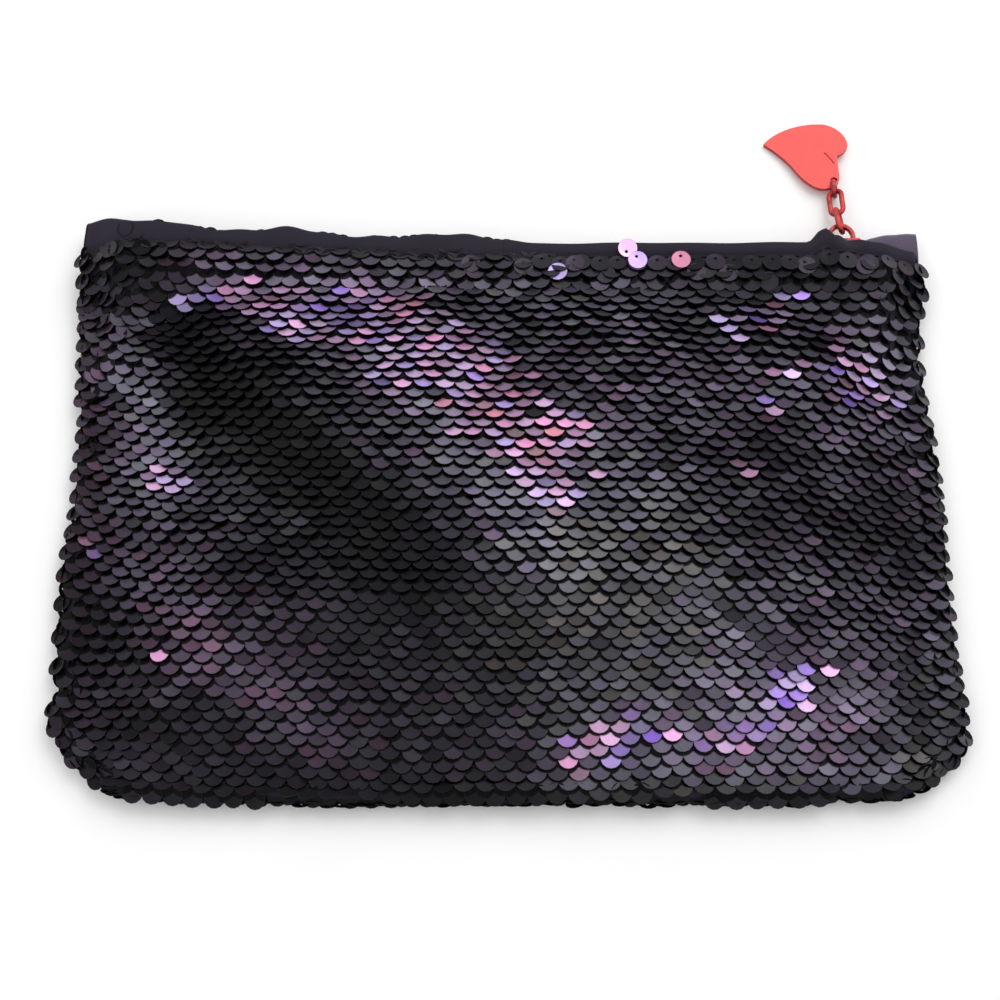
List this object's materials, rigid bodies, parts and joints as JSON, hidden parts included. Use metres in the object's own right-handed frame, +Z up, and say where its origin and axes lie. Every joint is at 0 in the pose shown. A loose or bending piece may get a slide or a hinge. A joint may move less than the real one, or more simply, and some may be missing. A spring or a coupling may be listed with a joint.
{
  "type": "cosmetic bag",
  "caption": "Flat zip-top pouch in sequinned fabric with a lining, lying on its back, and a heart charm hung by a short chain from the zip slider.",
  "frame": {"origin": "middle of the flat of the back panel, on the surface the bag lies on", "axes": "+X along the zip towards its closed end, +Y from the bottom seam to the zip edge, +Z up through the front panel"},
  "size_m": [0.22, 0.1848, 0.018],
  "materials": {
    "sequin_fabric": "dense overlapping satin sequins on cloth",
    "lining_fabric": "satin weave",
    "zip_tape": "woven tape",
    "zip_teeth": "satin",
    "thread": "twisted thread",
    "tab_fabric": "folded satin",
    "red_enamel": "glossy enamel",
    "coral_enamel": "glossy enamel"
  },
  "bodies": {
    "back": {"back_panel": "sequin_fabric", "back_lining": "lining_fabric", "back_tape": "zip_tape", "back_coil": "zip_teeth", "back_hem_stitches": "thread", "front_tape_ends": "zip_tape", "front_coil_ends": "zip_teeth", "end_tab_left": "tab_fabric", "end_tab_right": "tab_fabric", "top_stops": "zip_teeth", "bottom_stop": "zip_teeth", "seam_allowance_left": "lining_fabric", "seam_allowance_right": "lining_fabric", "seam_allowance_bottom": "lining_fabric"},
    "front": {"front_panel": "sequin_fabric", "front_lining": "lining_fabric", "front_tape": "zip_tape", "front_coil": "zip_teeth", "front_hem_stitches": "thread"},
    "slider": {"slider_body": "red_enamel", "slider_crown": "red_enamel"},
    "link_1": {"chain_link_1": "red_enamel"},
    "link_2": {"chain_link_2": "red_enamel"},
    "ring": {"heart_ring": "red_enamel"},
    "heart": {"heart_charm": "coral_enamel"}
  },
  "joints": [
    {"name": "mouth_open", "type": "hinge", "parent": "back", "child": "front", "pos_m": [0, -0.072, 0.003], "axis": [1, 0, 0], "range_deg": [0, 12]},
    {"name": "zip_slide", "type": "slide", "parent": "back", "child": "slider", "axis": [1, 0, 0], "range_m": [-0.18, 0], "deforming": ["back_coil", "front_coil", "front_coil_ends"]},
    {"name": "chain_lift", "type": "hinge", "parent": "slider", "child": "link_1", "pos_m": [0.0903, 0.07945, 0.00615], "axis": [1, 0, 0], "range_deg": [-2, 60]},
    {"name": "chain_sway", "type": "hinge", "parent": "link_1", "child": "link_2", "pos_m": [0.0903, 0.08511, 0.00386], "axis": [-0.5, 0.3244, 0.803], "range_deg": [-25, 25]},
    {"name": "ring_lift", "type": "hinge", "parent": "link_2", "child": "ring", "pos_m": [0.0903, 0.09172, 0.00265], "axis": [0.866, 0.104, 0.4891], "range_deg": [-2, 40]},
    {"name": "heart_turn", "type": "hinge", "parent": "ring", "child": "heart", "pos_m": [0.0903, 0.09466, 0.00252], "axis": [0, 0, 1], "range_deg": [-60, 3]}
  ]
}
